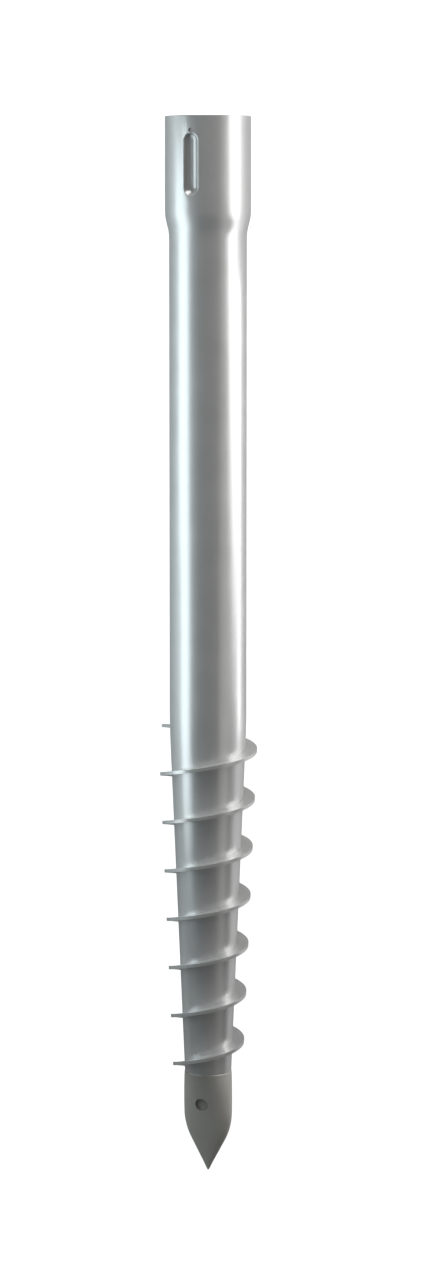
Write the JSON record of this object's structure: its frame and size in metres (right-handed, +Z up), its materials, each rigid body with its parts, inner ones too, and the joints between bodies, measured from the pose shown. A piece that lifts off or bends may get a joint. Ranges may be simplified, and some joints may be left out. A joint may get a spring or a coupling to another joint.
{
  "type": "ground screw",
  "caption": "Ground screw of galvanised steel: tube with a beaded socket head, a tapered end with a helical flight and a forged flat point.",
  "frame": {"origin": "on the floor that the screw lies on, below the axis and halfway along the length", "axes": "+Y along the floor towards the head, +Z up, +X to the right when the head is away from the viewer"},
  "size_m": [0.0964, 1.049, 0.0977],
  "materials": {
    "tube_zinc": "hot-dip galvanised, smooth, softly reflecting",
    "flight_zinc": "hot-dip galvanised, smooth, softly reflecting",
    "point_zinc": "hot-dip galvanised, duller than the tube"
  },
  "bodies": {
    "root": {"shaft_tube": "tube_zinc", "screw_flight": "flight_zinc", "ground_point": "point_zinc"}
  },
  "joints": []
}
